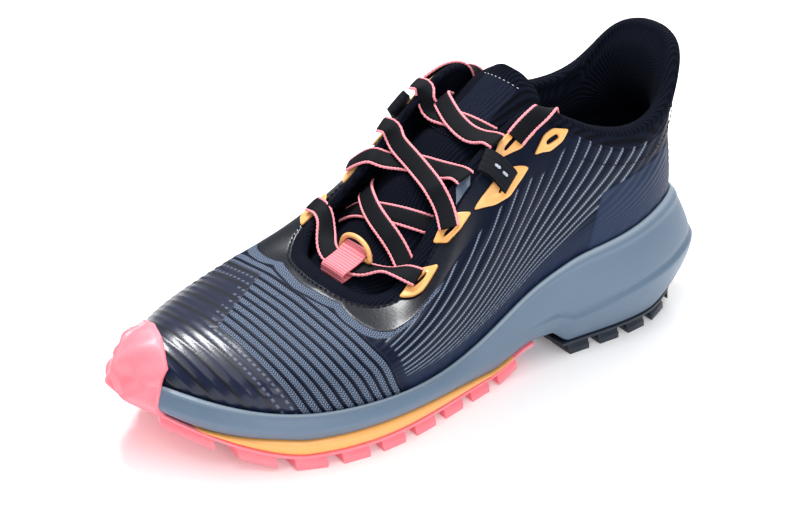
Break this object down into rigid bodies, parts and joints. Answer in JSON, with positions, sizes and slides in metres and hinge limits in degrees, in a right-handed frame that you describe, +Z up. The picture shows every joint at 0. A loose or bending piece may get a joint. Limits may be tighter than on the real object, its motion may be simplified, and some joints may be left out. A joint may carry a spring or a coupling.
{
  "type": "trail running shoe",
  "caption": "Low trail running shoe for a left foot, hollow mesh upper with padded collar, heel tab, tongue, foam midsole and lugged rubber tread.",
  "frame": {"origin": "on the floor, under the middle of the heel tread", "axes": "+Z up, -Y towards the toe, +X towards the lateral side"},
  "size_m": [0.0977, 0.284, 0.123],
  "materials": {
    "mesh_upper": "navy engineered mesh with grey-blue stripes",
    "knit": "dark diagonal-ribbed knit",
    "sockliner": "matt textile",
    "foam": "satin slate blue foam",
    "coral_rubber": "satin coral rubber",
    "navy_rubber": "satin navy rubber",
    "peach": "satin peach",
    "peach_film": "glossy peach film eyelet patch",
    "webbing": "black ribbed webbing with white dashes",
    "coral_webbing": "coral woven webbing",
    "ring": "glossy peach ring",
    "lace": "flat near-black lace with pale pink corded edges"
  },
  "bodies": {
    "shoe": {"upper": "mesh_upper", "tongue": "knit", "insole": "sockliner", "midsole": "foam", "outsole_forefoot": "coral_rubber", "outsole_heel": "navy_rubber", "forefoot_insert": "peach", "eyelet_lateral_1": "peach_film", "eyelet_lateral_2": "peach_film", "eyelet_lateral_3": "peach_film", "eyelet_lateral_4": "peach_film", "eyelet_lateral_5": "peach_film", "eyelet_medial_1": "peach_film", "eyelet_medial_2": "peach_film", "eyelet_medial_3": "peach_film", "eyelet_medial_4": "peach_film", "eyelet_medial_5": "peach_film", "lace_loop_lateral": "webbing", "lace_loop_medial": "webbing", "lace_keeper": "coral_webbing", "lace_first_bar": "lace", "lace_lower_crossing": "lace", "lace_middle_crossing": "lace", "lace_top_crossing": "lace", "lace_end_lateral": "lace", "lace_end_medial": "lace"},
    "ring": {"gaiter_ring": "ring"}
  },
  "joints": [
    {"name": "ring_tilt", "type": "hinge", "parent": "shoe", "child": "ring", "pos_m": [0.00081, -0.13382, 0.05533], "axis": [1, 0, 0], "range_deg": [-30, 45]}
  ]
}
